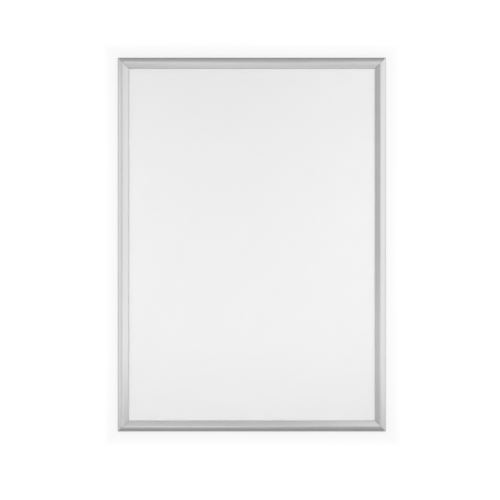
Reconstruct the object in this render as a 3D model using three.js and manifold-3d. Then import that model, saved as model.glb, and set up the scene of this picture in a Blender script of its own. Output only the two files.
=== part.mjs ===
// A wall-hung aluminium poster frame whose four covers snap open on hinges.
// Millimetres, +Z up. The back lies on the wall plane y = 0 and the front faces -Y.
// The origin is on the wall plane, in the middle of the top rail's screw line.
// Sections are drawn in two distances: inset, from the frame's outer edge towards
// its middle, and height, from the wall towards the viewer.

import * as THREE from 'three';
import { mergeVertices } from 'three/addons/utils/BufferGeometryUtils.js';
import Module from 'manifold-3d';

const wasm = await Module();
wasm.setup();

// Sheets held in the frame
const POSTER_WIDTH = 594;
const POSTER_HEIGHT = 841;
const POSTER_THICKNESS = 0.25;
const POSTER_SIDE_PLAY = 2.7;
const CLEAR_SHEET_THICKNESS = 0.5;
const CLEAR_SHEET_SIDE_PLAY = 1.2;
const BACK_PANEL_THICKNESS = 2;
const BACK_PANEL_SIDE_PLAY = 0.6;
const LAYER_GAP = 0.1;

// Base rail section
const FLOOR_THICKNESS = 1.25;
const FOOT_INSET = 0.3;
const FOOT_THICKNESS = 1;
const FOOT_HEIGHT = 1.7;
const CHANNEL_WIDTH = 7.9;
const RIB_THICKNESS = 1.2;
const RIB_STAND = 1.2;
const LIP_REACH = 1;
const LIP_THICKNESS = 0.8;
const LIP_CLEARANCE = 0.3;
const LEDGE_WIDTH = 10.7;

// Hinge along the outer edge
const HINGE_INSET = 2.3;
const BEAD_RADIUS = 1.2;
const BEAD_CLEARANCE = 0.3;
const SOCKET_WALL = 0.9;
const SOCKET_FLOOR_GAP = 0.95;
const SOCKET_UPPER_END = 95;
const SOCKET_LOWER_END = -98;
const OPEN_ANGLE = 95;

// Snap cover section
const FRAME_DEPTH = 12;
const VIEW_OVERLAP = 9;
const COVER_WALL = 1.3;
const CREST_INSET = 13.5;
const FACE_DROP = 6.2;
const NOSE_RADIUS = 1;
const SKIRT_RISE = 1.2;
const NECK_UPPER_ANGLE = 112;
const NECK_LOWER_ANGLE = 158;
const HEEL_THICKNESS = 1;
const HEEL_CLEARANCE = 0.5;
const HEEL_DROP = 0.7;
const NOSE_CLEARANCE = 0.3;
const NOTCH_CLEARANCE = 0.3;
const MITRE_GAP = 0.4;

// Leaf springs
const SPRING_LENGTH = 40;
const SPRING_THICKNESS = 0.5;
const SPRING_FOOT_WIDTH = 3;
const SPRING_CLEARANCE = 0.3;
const SPRING_TIP_DROP = 0.2;
const SPRINGS_PER_SHORT_RAIL = 2;
const SPRINGS_PER_LONG_RAIL = 3;

// Corner brackets and their screws
const BRACKET_LEG = 55;
const BRACKET_THICKNESS = 1.5;
const BRACKET_CLEARANCE = 0.3;
const SCREW_FROM_CORNER = 38;
const SCREW_HEAD_RADIUS = 2.4;
const SCREW_SHANK_RADIUS = 1.3;
const SCREW_SINK = 0.1;
const SCREW_PROUD = 0.6;
const SCREW_CLEARANCE = 0.15;

// Wall screw holes in the top and bottom rails
const WALL_HOLE_RADIUS = 2.5;
const WALL_HOLE_FROM_END = 90;

// Cutting blocks and holes run this far past the faces they cut
const CUT_PAST = 1;

// Facets on round shapes
const FACE_ARC_STEPS = 16;
const NOSE_STEPS = 4;
const BEAD_ARC_STEPS = 20;
const SOCKET_ARC_STEPS = 14;
const SPRING_CURVE_STEPS = 8;
const SCREW_SIDES = 16;

// Places across the section
const socketRadius = BEAD_RADIUS + BEAD_CLEARANCE;
const socketOuterRadius = socketRadius + SOCKET_WALL;
const webOuterInset = HINGE_INSET + socketRadius;
const webInnerInset = webOuterInset + SOCKET_WALL;
const ribOuterInset = webInnerInset + CHANNEL_WIDTH;
const ribInnerInset = ribOuterInset + RIB_THICKNESS;
const ledgeInset = ribInnerInset + LEDGE_WIDTH;
const posterInset = ribInnerInset + POSTER_SIDE_PLAY;
const faceWidth = posterInset + VIEW_OVERLAP;
const heelOuterInset = webInnerInset + HEEL_CLEARANCE;
const heelInnerInset = heelOuterInset + HEEL_THICKNESS;
const screwLineInset = (webInnerInset + ribOuterInset) / 2;

// Heights from the wall
const hingeHeight = FLOOR_THICKNESS + SOCKET_FLOOR_GAP + socketOuterRadius;
const panelHeight = FLOOR_THICKNESS + LAYER_GAP;
const posterHeight = panelHeight + BACK_PANEL_THICKNESS + LAYER_GAP;
const clearSheetHeight = posterHeight + POSTER_THICKNESS + LAYER_GAP;
const clearSheetTop = clearSheetHeight + CLEAR_SHEET_THICKNESS;
const noseHeight = clearSheetTop + NOSE_CLEARANCE;
const bracketHeight = FLOOR_THICKNESS + LAYER_GAP;
const lipHeight = bracketHeight + BRACKET_THICKNESS + LIP_CLEARANCE;
const skirtHeight = hingeHeight + SKIRT_RISE;
const heelHeight = hingeHeight - HEEL_DROP;

// Overall size
const frameWidth = POSTER_WIDTH + 2 * posterInset;
const frameHeight = POSTER_HEIGHT + 2 * posterInset;

const radians = THREE.MathUtils.degToRad;

const anodised = { color: 0xc6c7c9, roughness: 0.38, metalness: 0.9 };
const springSteel = { color: 0x9a9c9f, roughness: 0.3, metalness: 1 };
const zincSteel = { color: 0xb4b7ba, roughness: 0.35, metalness: 1 };
const whitePlastic = { color: 0xe9eaea, roughness: 0.55, metalness: 0 };
const blankPaper = { color: 0xf1f1f0, roughness: 0.8, metalness: 0 };
const clearPlastic = { color: 0xffffff, roughness: 0.35, metalness: 0, transparent: true, opacity: 0.25 };

function piece(name, geometry, look) {
  const mesh = new THREE.Mesh(geometry, new THREE.MeshStandardMaterial(look));
  mesh.name = name;
  return mesh;
}

// Cutting

function toSolid(geometry) {
  const bare = geometry.clone();
  bare.deleteAttribute('normal');
  bare.deleteAttribute('uv');
  const merged = mergeVertices(bare);
  const vertProperties = new Float32Array(merged.attributes.position.array);
  const triVerts = new Uint32Array(merged.index.array);
  return new wasm.Manifold(new wasm.Mesh({ numProp: 3, vertProperties, triVerts }));
}

function toGeometry(solid) {
  const mesh = solid.getMesh();
  const geometry = new THREE.BufferGeometry();
  geometry.setAttribute('position', new THREE.BufferAttribute(mesh.vertProperties, 3));
  geometry.setIndex(new THREE.BufferAttribute(mesh.triVerts, 1));
  return geometry;
}

function cut(geometry, cutters) {
  let solid = toSolid(geometry);
  for (const cutter of cutters) {
    solid = solid.subtract(toSolid(cutter));
  }
  return toGeometry(solid);
}

// Section helpers

function pointOnHinge(radius, degrees) {
  const angle = radians(degrees);
  return new THREE.Vector2(
    HINGE_INSET + radius * Math.cos(angle),
    hingeHeight + radius * Math.sin(angle),
  );
}

function arcRoundHinge(radius, from, to, steps) {
  const points = [];
  for (let i = 0; i <= steps; i += 1) {
    points.push(pointOnHinge(radius, from + ((to - from) * i) / steps));
  }
  return points;
}

// The two ends of a rail-long piece slope at 45 degrees, so that it meets its neighbours
// on the frame's diagonals with half the mitre gap each.
function mitredBar(section, length) {
  const bar = new THREE.ExtrudeGeometry(new THREE.Shape(section), {
    depth: length,
    bevelEnabled: false,
  });
  const halfGap = (MITRE_GAP / 2) * Math.SQRT2;
  const position = bar.attributes.position;
  for (let i = 0; i < position.count; i += 1) {
    const setBack = position.getX(i) + halfGap;
    position.setZ(i, position.getZ(i) > length / 2 ? length - setBack : setBack);
  }
  return layAlongRail(bar, length);
}

// Turns a bar drawn as (inset, height, distance along) so that it lies along X with its
// outer edge on z = 0, centred on x = 0.
function layAlongRail(bar, length) {
  const turn = new THREE.Matrix4().makeBasis(
    new THREE.Vector3(0, 0, -1),
    new THREE.Vector3(0, -1, 0),
    new THREE.Vector3(-1, 0, 0),
  );
  bar.applyMatrix4(turn);
  bar.translate(length / 2, 0, 0);
  return bar;
}

// A block given by its insets, heights and distances along the rail from the middle.
function railBlock(insetFrom, insetTo, heightFrom, heightTo, alongFrom, alongTo) {
  const block = new THREE.BoxGeometry(
    alongTo - alongFrom,
    heightTo - heightFrom,
    insetTo - insetFrom,
  );
  block.translate(
    (alongFrom + alongTo) / 2,
    -(heightFrom + heightTo) / 2,
    -(insetFrom + insetTo) / 2,
  );
  return block;
}

// Base rails

function baseRailSection() {
  const webFootAngle = -THREE.MathUtils.radToDeg(Math.acos(socketRadius / socketOuterRadius));
  return [
    new THREE.Vector2(FOOT_INSET, 0),
    new THREE.Vector2(ledgeInset, 0),
    new THREE.Vector2(ledgeInset, FLOOR_THICKNESS),
    new THREE.Vector2(ribInnerInset, FLOOR_THICKNESS),
    new THREE.Vector2(ribInnerInset, clearSheetTop + RIB_STAND),
    new THREE.Vector2(ribOuterInset, clearSheetTop + RIB_STAND),
    new THREE.Vector2(ribOuterInset, lipHeight + LIP_THICKNESS),
    new THREE.Vector2(ribOuterInset - LIP_REACH, lipHeight + LIP_THICKNESS),
    new THREE.Vector2(ribOuterInset - LIP_REACH, lipHeight),
    new THREE.Vector2(ribOuterInset, lipHeight),
    new THREE.Vector2(ribOuterInset, FLOOR_THICKNESS),
    new THREE.Vector2(webInnerInset, FLOOR_THICKNESS),
    ...arcRoundHinge(socketOuterRadius, 0, SOCKET_UPPER_END, SOCKET_ARC_STEPS),
    ...arcRoundHinge(socketRadius, SOCKET_UPPER_END, SOCKET_LOWER_END, SOCKET_ARC_STEPS),
    ...arcRoundHinge(socketOuterRadius, SOCKET_LOWER_END, webFootAngle, SOCKET_ARC_STEPS / 2),
    new THREE.Vector2(webOuterInset, FLOOR_THICKNESS),
    new THREE.Vector2(FOOT_INSET + FOOT_THICKNESS, FLOOR_THICKNESS),
    new THREE.Vector2(FOOT_INSET + FOOT_THICKNESS, FOOT_HEIGHT),
    new THREE.Vector2(FOOT_INSET, FOOT_HEIGHT),
  ];
}

function wallHoleCutter(along) {
  const depth = FLOOR_THICKNESS + 2 * CUT_PAST;
  const hole = new THREE.CylinderGeometry(WALL_HOLE_RADIUS, WALL_HOLE_RADIUS, depth, SCREW_SIDES);
  hole.translate(along, -FLOOR_THICKNESS / 2, -screwLineInset);
  return hole;
}

function baseRail(length, hasWallHoles) {
  const screwAlong = length / 2 - SCREW_FROM_CORNER;
  const cutters = [-screwAlong, screwAlong].map((along) => {
    const cutter = screwBody(SCREW_CLEARANCE);
    cutter.translate(along, 0, -screwLineInset);
    return cutter;
  });
  if (hasWallHoles) {
    const holeAlong = length / 2 - WALL_HOLE_FROM_END;
    cutters.push(wallHoleCutter(-holeAlong), wallHoleCutter(holeAlong));
  }
  return cut(mitredBar(baseRailSection(), length), cutters);
}

// Snap covers

// The outer face rises from the skirt to the crest on a quarter ellipse, and then falls
// in a straight slope to a small rounded nose over the clear sheet.
function coverSection() {
  const slope = Math.atan(FACE_DROP / (faceWidth - CREST_INSET));
  const innerCrestHeight = FRAME_DEPTH - COVER_WALL / Math.cos(slope);
  const innerReach = CREST_INSET - COVER_WALL;
  const innerRise = innerCrestHeight - skirtHeight;
  const noseInset = faceWidth - COVER_WALL;
  const noseTop = FRAME_DEPTH - FACE_DROP;

  const innerFaceAt = (inset) => {
    const share = (CREST_INSET - inset) / innerReach;
    return skirtHeight + innerRise * Math.sqrt(1 - share * share);
  };
  const innerFace = (from, to) => {
    const points = [];
    for (let i = 0; i <= FACE_ARC_STEPS / 2; i += 1) {
      const inset = from + ((to - from) * i) / (FACE_ARC_STEPS / 2);
      points.push(new THREE.Vector2(inset, innerFaceAt(inset)));
    }
    return points;
  };

  const outerFace = new THREE.EllipseCurve(
    CREST_INSET,
    skirtHeight,
    CREST_INSET,
    FRAME_DEPTH - skirtHeight,
    Math.PI,
    Math.PI / 2,
    true,
  );
  const nose = new THREE.QuadraticBezierCurve(
    new THREE.Vector2(faceWidth - NOSE_RADIUS, noseTop + NOSE_RADIUS * Math.tan(slope)),
    new THREE.Vector2(faceWidth, noseTop),
    new THREE.Vector2(faceWidth, noseTop - NOSE_RADIUS),
  );
  const neckTop = neckMeetsInnerFace(innerFaceAt);
  return [
    ...outerFace.getPoints(FACE_ARC_STEPS),
    ...nose.getPoints(NOSE_STEPS),
    new THREE.Vector2(faceWidth, noseHeight),
    new THREE.Vector2(noseInset, noseHeight),
    new THREE.Vector2(noseInset, innerCrestHeight - (noseInset - CREST_INSET) * Math.tan(slope)),
    ...innerFace(CREST_INSET, heelInnerInset),
    new THREE.Vector2(heelInnerInset, heelHeight),
    new THREE.Vector2(heelOuterInset, heelHeight),
    ...innerFace(heelOuterInset, neckTop),
    ...arcRoundHinge(BEAD_RADIUS, NECK_UPPER_ANGLE, NECK_LOWER_ANGLE - 360, BEAD_ARC_STEPS),
  ];
}

// The inset at which the neck's upper side, a ray from the hinge axis, leaves the inner
// face: found by halving the stretch between the wall of the skirt and the axis.
function neckMeetsInnerFace(innerFaceAt) {
  const rise = Math.tan(radians(NECK_UPPER_ANGLE));
  const halvings = 40;
  let outside = COVER_WALL;
  let inside = HINGE_INSET;
  for (let i = 0; i < halvings; i += 1) {
    const middle = (outside + inside) / 2;
    const rayHeight = hingeHeight + (middle - HINGE_INSET) * rise;
    if (rayHeight > innerFaceAt(middle)) {
      outside = middle;
    } else {
      inside = middle;
    }
  }
  return inside;
}

// The inset of a cover's point once the cover is fully open.
function swungInset(inset, height) {
  const open = radians(OPEN_ANGLE);
  const across = (inset - HINGE_INSET) * Math.cos(open);
  return HINGE_INSET + across - (height - hingeHeight) * Math.sin(open);
}

// The bead and the skirt stop short of the corners, because what lies outside the hinge
// axis swings inwards as a cover opens and would meet the neighbour there.
function coverNotches(length) {
  const neckEdge = pointOnHinge(BEAD_RADIUS, NECK_LOWER_ANGLE);
  const reach = Math.max(swungInset(0, skirtHeight), swungInset(neckEdge.x, neckEdge.y));
  const skirtNotch = reach + NOTCH_CLEARANCE;
  const beadNotch = HINGE_INSET + BEAD_RADIUS + NOTCH_CLEARANCE;
  const beadInset = HINGE_INSET - BEAD_RADIUS - NOTCH_CLEARANCE;
  const notchTop = hingeHeight + HINGE_INSET * Math.tan(radians(OPEN_ANGLE / 2));
  const end = length / 2;
  return [-1, 1].flatMap((side) => {
    const toEnd = (depth) => [side * (end - depth), side * (end + CUT_PAST)].sort((a, b) => a - b);
    return [
      railBlock(-CUT_PAST, beadInset, 0, notchTop, ...toEnd(skirtNotch)),
      railBlock(beadInset, webInnerInset, 0, notchTop, ...toEnd(beadNotch)),
    ];
  });
}

function snapCover(length) {
  return cut(mitredBar(coverSection(), length), coverNotches(length));
}

// Leaf springs

// Seen in section, the strip lies in the channel under the rib's lip and bends up to
// press on the cover's heel just below the hinge axis.
function leafSpring() {
  const half = SPRING_THICKNESS / 2;
  const footHeight = FLOOR_THICKNESS + LAYER_GAP + half;
  const footInset = ribOuterInset - SPRING_CLEARANCE;
  const bendInset = footInset - SPRING_FOOT_WIDTH;
  const tipInset = heelInnerInset + SPRING_CLEARANCE + half;
  const tipHeight = hingeHeight - SPRING_TIP_DROP;
  const bend = new THREE.QuadraticBezierCurve(
    new THREE.Vector2(bendInset, footHeight),
    new THREE.Vector2(tipInset, footHeight),
    new THREE.Vector2(tipInset, tipHeight),
  );
  const centreline = [
    new THREE.Vector2(footInset, footHeight),
    ...bend.getPoints(SPRING_CURVE_STEPS),
  ];
  const strip = new THREE.ExtrudeGeometry(new THREE.Shape(ribbon(centreline, half)), {
    depth: SPRING_LENGTH,
    bevelEnabled: false,
  });
  return layAlongRail(strip, SPRING_LENGTH);
}

// The outline at a half thickness on both sides of a line of points.
function ribbon(centreline, half) {
  const left = [];
  const right = [];
  centreline.forEach((point, i) => {
    const before = centreline[Math.max(i - 1, 0)];
    const after = centreline[Math.min(i + 1, centreline.length - 1)];
    const along = after.clone().sub(before).normalize();
    const across = new THREE.Vector2(-along.y, along.x).multiplyScalar(half);
    left.push(point.clone().add(across));
    right.unshift(point.clone().sub(across));
  });
  return [...left, ...right];
}

// Corner brackets and screws

// A countersunk body on the Y axis with its head towards the wall. With no clearance it
// is the screw. With a clearance it is the hole, and runs past both faces it cuts.
function screwBody(clearance) {
  const past = clearance > 0 ? CUT_PAST : 0;
  const coneHeight = SCREW_HEAD_RADIUS - SCREW_SHANK_RADIUS;
  const headHeight = SCREW_SINK - past;
  const tipHeight = bracketHeight + BRACKET_THICKNESS + SCREW_PROUD + past;
  const shankRadius = SCREW_SHANK_RADIUS + clearance;
  const headRadius = SCREW_HEAD_RADIUS + clearance + past;
  const profile = [
    new THREE.Vector2(0, -tipHeight),
    new THREE.Vector2(shankRadius, -tipHeight),
    new THREE.Vector2(shankRadius, -(SCREW_SINK + coneHeight)),
    new THREE.Vector2(headRadius, -headHeight),
    new THREE.Vector2(0, -headHeight),
  ];
  return new THREE.LatheGeometry(profile, SCREW_SIDES);
}

// Drawn for the corner at the top right: distances run inwards from the two outer edges.
function cornerBracket() {
  const near = webInnerInset + BRACKET_CLEARANCE;
  const far = ribOuterInset - BRACKET_CLEARANCE;
  const outline = new THREE.Shape([
    new THREE.Vector2(near, near),
    new THREE.Vector2(BRACKET_LEG, near),
    new THREE.Vector2(BRACKET_LEG, far),
    new THREE.Vector2(far, far),
    new THREE.Vector2(far, BRACKET_LEG),
    new THREE.Vector2(near, BRACKET_LEG),
  ]);
  const plate = new THREE.ExtrudeGeometry(outline, {
    depth: BRACKET_THICKNESS,
    bevelEnabled: false,
  });
  const turn = new THREE.Matrix4().makeBasis(
    new THREE.Vector3(-1, 0, 0),
    new THREE.Vector3(0, 0, -1),
    new THREE.Vector3(0, -1, 0),
  );
  plate.applyMatrix4(turn);
  plate.translate(0, -bracketHeight, 0);
  return cut(plate, cornerScrewPlaces().map(([x, z]) => {
    const hole = screwBody(SCREW_CLEARANCE);
    hole.translate(x, 0, z);
    return hole;
  }));
}

function cornerScrewPlaces() {
  return [
    [-SCREW_FROM_CORNER, -screwLineInset],
    [-screwLineInset, -SCREW_FROM_CORNER],
  ];
}

// Assembly

const frame = new THREE.Group();
frame.position.z = screwLineInset - frameHeight / 2;

const sides = [
  { name: 'top', place: [0, frameHeight / 2], turn: 0, length: frameWidth },
  { name: 'right', place: [frameWidth / 2, 0], turn: 90, length: frameHeight },
  { name: 'bottom', place: [0, -frameHeight / 2], turn: 180, length: frameWidth },
  { name: 'left', place: [-frameWidth / 2, 0], turn: -90, length: frameHeight },
];

for (const { name, place, turn, length } of sides) {
  const isShort = name === 'top' || name === 'bottom';
  const side = new THREE.Group();
  side.position.set(place[0], 0, place[1]);
  side.rotation.y = radians(turn);
  side.add(piece(`base_rail_${name}`, baseRail(length, isShort), anodised));
  side.add(piece(`snap_cover_${name}`, snapCover(length), anodised));
  const springs = isShort ? SPRINGS_PER_SHORT_RAIL : SPRINGS_PER_LONG_RAIL;
  for (let i = 0; i < springs; i += 1) {
    const spring = piece(`leaf_spring_${name}_${i + 1}`, leafSpring(), springSteel);
    spring.position.x = ((i + 0.5) / springs - 0.5) * length;
    side.add(spring);
  }
  frame.add(side);
}

const corners = [
  { name: 'top_right', across: 1, up: 1, turn: 0 },
  { name: 'bottom_right', across: 1, up: -1, turn: 90 },
  { name: 'bottom_left', across: -1, up: -1, turn: 180 },
  { name: 'top_left', across: -1, up: 1, turn: -90 },
];

for (const { name, across, up, turn } of corners) {
  const corner = new THREE.Group();
  corner.position.set((across * frameWidth) / 2, 0, (up * frameHeight) / 2);
  corner.rotation.y = radians(turn);
  corner.add(piece(`corner_bracket_${name}`, cornerBracket(), zincSteel));
  cornerScrewPlaces().forEach(([x, z], i) => {
    const screw = piece(`corner_screw_${name}_${i + 1}`, screwBody(0), zincSteel);
    screw.position.set(x, 0, z);
    corner.add(screw);
  });
  frame.add(corner);
}

// A flat sheet that reaches to a given inset on all four sides.
function sheet(name, inset, height, thickness, look) {
  const flat = new THREE.BoxGeometry(frameWidth - 2 * inset, thickness, frameHeight - 2 * inset);
  const mesh = piece(name, flat, look);
  mesh.position.y = -(height + thickness / 2);
  return mesh;
}

frame.add(
  sheet(
    'back_panel',
    ribInnerInset + BACK_PANEL_SIDE_PLAY,
    panelHeight,
    BACK_PANEL_THICKNESS,
    whitePlastic,
  ),
  sheet('poster', posterInset, posterHeight, POSTER_THICKNESS, blankPaper),
  sheet(
    'clear_sheet',
    ribInnerInset + CLEAR_SHEET_SIDE_PLAY,
    clearSheetHeight,
    CLEAR_SHEET_THICKNESS,
    clearPlastic,
  ),
);

const posterFrame = new THREE.Group();
posterFrame.add(frame);

export default posterFrame;
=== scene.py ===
# %% [markdown]
# # An aluminium poster frame
# This lesson dresses a snap frame that hangs on a wall. Four mitred base rails hold a back
# board, a blank poster and a clear sheet. Four covers hinge on the rails' outer edges and
# flip open, so that the poster can be changed from the front.
# The construction comes ready made, at its real size, and is never moved. Blender adds the
# fine shapes and the finishes around it. Units are metres: X to the right, Z up, the wall
# at y = 0 and the front towards -Y.

# %% Load the construction
import math

import bmesh
import bpy
from mathutils import Matrix, Vector


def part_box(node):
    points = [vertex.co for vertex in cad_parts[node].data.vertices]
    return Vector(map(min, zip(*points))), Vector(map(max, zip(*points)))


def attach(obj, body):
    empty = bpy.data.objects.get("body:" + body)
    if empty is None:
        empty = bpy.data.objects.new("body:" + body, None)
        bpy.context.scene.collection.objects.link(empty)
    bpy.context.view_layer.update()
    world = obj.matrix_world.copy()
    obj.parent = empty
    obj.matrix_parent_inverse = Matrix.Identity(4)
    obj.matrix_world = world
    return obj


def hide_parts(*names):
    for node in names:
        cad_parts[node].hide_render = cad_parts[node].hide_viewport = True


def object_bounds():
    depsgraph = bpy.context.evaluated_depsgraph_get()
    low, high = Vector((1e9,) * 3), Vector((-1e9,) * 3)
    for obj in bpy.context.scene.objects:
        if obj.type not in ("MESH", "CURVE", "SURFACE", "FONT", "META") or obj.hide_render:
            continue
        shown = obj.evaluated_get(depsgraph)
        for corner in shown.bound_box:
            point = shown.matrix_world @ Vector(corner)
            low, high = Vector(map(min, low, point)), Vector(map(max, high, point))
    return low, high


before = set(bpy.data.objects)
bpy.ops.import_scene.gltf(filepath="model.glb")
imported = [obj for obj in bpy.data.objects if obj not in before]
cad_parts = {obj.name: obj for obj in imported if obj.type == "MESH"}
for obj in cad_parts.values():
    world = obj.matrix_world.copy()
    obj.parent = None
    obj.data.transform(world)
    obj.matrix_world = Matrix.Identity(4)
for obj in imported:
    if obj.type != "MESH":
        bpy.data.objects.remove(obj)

cad_low, cad_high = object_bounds()
print("construction:", len(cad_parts), "pieces")
print("its box in metres:", cad_low[:], cad_high[:])

# %% [markdown]
# ## Overall sizes
# The width and height come from the loaded construction. The section's sizes are named
# where each piece is drawn, in millimetres, because that is how a profile is read.

# %% Overall sizes
MM = 0.001
frame_width = cad_high.x - cad_low.x
frame_height = cad_high.z - cad_low.z
middle = (cad_low + cad_high) / 2
print("outside:", round(frame_width / MM, 1), "by", round(frame_height / MM, 1), "mm")

# %% [markdown]
# ## Camera
# The photograph looks squarely at the frame from the front, with a long lens: the four
# outer edges stay parallel. A little over three metres away gives that look. The scale of
# the picture sets the lens, and the place of the frame in the picture sets where the camera
# stands.

# %% Camera
PICTURE_WIDTH = 500
METRES_PER_PIXEL = 2.3326 * MM
MIDDLE_IN_PICTURE = (251.85, 244.6)
CAMERA_DISTANCE = 3.2


def make_camera():
    data = bpy.data.cameras.new("camera")
    view_width = PICTURE_WIDTH * METRES_PER_PIXEL
    data.lens = data.sensor_width * CAMERA_DISTANCE / view_width
    camera = bpy.data.objects.new("camera", data)
    right = MIDDLE_IN_PICTURE[0] - PICTURE_WIDTH / 2
    down = MIDDLE_IN_PICTURE[1] - PICTURE_WIDTH / 2
    camera.location = (
        middle.x - right * METRES_PER_PIXEL,
        cad_low.y - CAMERA_DISTANCE,
        middle.z + down * METRES_PER_PIXEL,
    )
    camera.rotation_euler = (math.radians(90), 0, 0)
    bpy.context.scene.collection.objects.link(camera)
    bpy.context.scene.camera = camera
    return camera


camera = make_camera()
bpy.context.scene.view_settings.view_transform = "Standard"
print("lens:", round(camera.data.lens, 1), "mm, camera at", camera.location[:])

# %% [markdown]
# ## Arithmetic on shader values
# A finish is a graph of nodes, and most of its nodes are sums. They could be added and
# linked one by one, which takes a dozen lines for a short formula. Here a small class wraps
# an output socket and gives it the operators of Python, so that a formula reads as one.

# %% Values that add their own Math nodes
class Value:
    """A socket that a value comes out of. Sums written with it add Math nodes."""

    def __init__(self, recipe, socket):
        self.recipe = recipe
        self.socket = socket

    def __add__(self, other):
        return self.recipe.maths("ADD", self, other)

    def __radd__(self, other):
        return self.recipe.maths("ADD", other, self)

    def __sub__(self, other):
        return self.recipe.maths("SUBTRACT", self, other)

    def __rsub__(self, other):
        return self.recipe.maths("SUBTRACT", other, self)

    def __mul__(self, other):
        return self.recipe.maths("MULTIPLY", self, other)

    def __rmul__(self, other):
        return self.recipe.maths("MULTIPLY", other, self)


# %% [markdown]
# Every node but the output is made by one method. It takes the node's type, then its
# settings, and then what its sockets get: a number, a colour or another value. The settings
# come first because some of them decide which sockets a node has. The shorter methods call
# it for the nodes that most finishes need.

# %% Recipes for finishes
class Recipe:
    """The node graph of a material or of the studio's surroundings."""

    def __init__(self, owner):
        owner.use_nodes = True
        self.tree = owner.node_tree
        self.tree.nodes.clear()

    def feed(self, socket, value):
        if isinstance(value, Value):
            self.tree.links.new(value.socket, socket)
        else:
            socket.default_value = value

    def node(self, kind, settings=None, sockets=None, output=0):
        made = self.tree.nodes.new(kind)
        for name, setting in (settings or {}).items():
            if name == "stops":
                self.set_stops(made.color_ramp, setting)
            else:
                setattr(made, name, setting)
        for name, value in (sockets or {}).items():
            self.feed(made.inputs[name], value)
        return Value(self, made.outputs[output])

    def set_stops(self, ramp, stops):
        while len(ramp.elements) < len(stops):
            ramp.elements.new(1)
        for element, (position, level) in zip(ramp.elements, stops):
            element.position = position
            element.color = (level, level, level, 1)

    def maths(self, operation, first, second=0):
        return self.node("ShaderNodeMath", {"operation": operation}, {0: first, 1: second})

    def place(self):
        """Where a point of the object lies, in metres."""
        return self.node("ShaderNodeTexCoord", {}, {}, "Object")

    def drawn(self):
        """Where a point of a bar was drawn, before the bar was turned into its place."""
        return self.node("ShaderNodeAttribute", {"attribute_name": "drawn"}, {}, "Vector")

    def part(self, vector, axis):
        """One of the three numbers of a vector."""
        return self.node("ShaderNodeSeparateXYZ", {}, {0: vector}, axis)

    def scaled(self, vector, scale):
        """A vector with each of its parts multiplied by its own number."""
        settings = {"operation": "MULTIPLY"}
        return self.node("ShaderNodeVectorMath", settings, {0: vector, 1: scale})

    def noise(self, vector, size, detail=2):
        """Soft random values from 0 to 1. Size is how far apart they lie, in metres."""
        if isinstance(size, tuple):
            vector = self.scaled(vector, tuple(1 / part for part in size))
        else:
            vector = self.scaled(vector, (1 / size,) * 3)
        sockets = {"Vector": vector, "Scale": 1, "Detail": detail}
        return self.node("ShaderNodeTexNoise", {}, sockets, "Fac")

    def between(self, amount, first, second):
        """The colour that lies between two others, by an amount from 0 to 1."""
        settings = {"data_type": "RGBA"}
        sockets = {"Factor": amount, 6: first, 7: second}
        return self.node("ShaderNodeMix", settings, sockets, 2)

    def bump(self, height, depth, strength):
        """A surface that rises and falls by a depth in metres."""
        sockets = {"Height": height, "Distance": depth, "Strength": strength}
        return self.node("ShaderNodeBump", {}, sockets)

    def finish(self, shader, output="ShaderNodeOutputMaterial"):
        end = self.tree.nodes.new(output)
        self.tree.links.new(shader.socket, end.inputs["Surface"])

    def finish_surface(self, sockets):
        """Ends a material with the shader that suits metal, paper and plastic alike."""
        self.finish(self.node("ShaderNodeBsdfPrincipled", {}, sockets))


def new_material(name):
    """An empty material and the recipe that fills it."""
    material = bpy.data.materials.new(name)
    return material, Recipe(material)


def shade(red, green, blue):
    """A colour given as it looks on a screen, from 0 to 255, in the linear form of nodes."""
    def linear(level):
        level = level / 255
        return level / 12.92 if level <= 0.04045 else ((level + 0.055) / 1.055) ** 2.4

    return (linear(red), linear(green), linear(blue), 1)


# %% [markdown]
# ## The studio
# Satin metal shows mostly what stands around it, so the surroundings are part of its look.
# A plain white world would leave the profile flat. This one is an even pale grey, a little
# paler high up and dark at the zenith, like an unlit ceiling. It is the same for every ray,
# and the brighter shapes in it are lamps. Its levels are given by how far up a direction
# points, from 0 straight down to 1 straight up.

# %% Surroundings
GREY_LEVEL = 0.6
HIGH_LEVEL = 0.72
ZENITH_LEVEL = 0.1
LEVELS = [
    (0, GREY_LEVEL),
    (0.75, GREY_LEVEL),
    (0.883, HIGH_LEVEL),
    (0.94, 0.5),
    (0.97, 0.2),
    (1, ZENITH_LEVEL),
]


def make_surroundings():
    world = bpy.data.worlds.new("studio")
    bpy.context.scene.world = world
    recipe = Recipe(world)
    direction = recipe.node("ShaderNodeTexCoord", {}, {}, "Generated")
    up = recipe.part(direction, "Z")
    level = recipe.node("ShaderNodeValToRGB", {"stops": LEVELS}, {0: up * 0.5 + 0.5})
    light = recipe.node("ShaderNodeBackground", {}, {"Color": level})
    recipe.finish(light, "ShaderNodeOutputWorld")


make_surroundings()
print("surroundings:", GREY_LEVEL, "at eye level,", ZENITH_LEVEL, "at the zenith")

# %% [markdown]
# Four soft lamps light the frame, as in a small product studio. Each is an area lamp,
# whose size makes its light soft. The photograph's rails say where they stood. The slopes
# that face right are the palest, so a wide lamp stands there. The left rail's outer curve
# is pale too while the right rail's slope, which also faces left, is dark, so the lamp at
# the left is small and near. The third stands a little left of the camera. The fourth is a
# low strip in front of the frame's lower half, which brightens the slope of the top rail.

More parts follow.
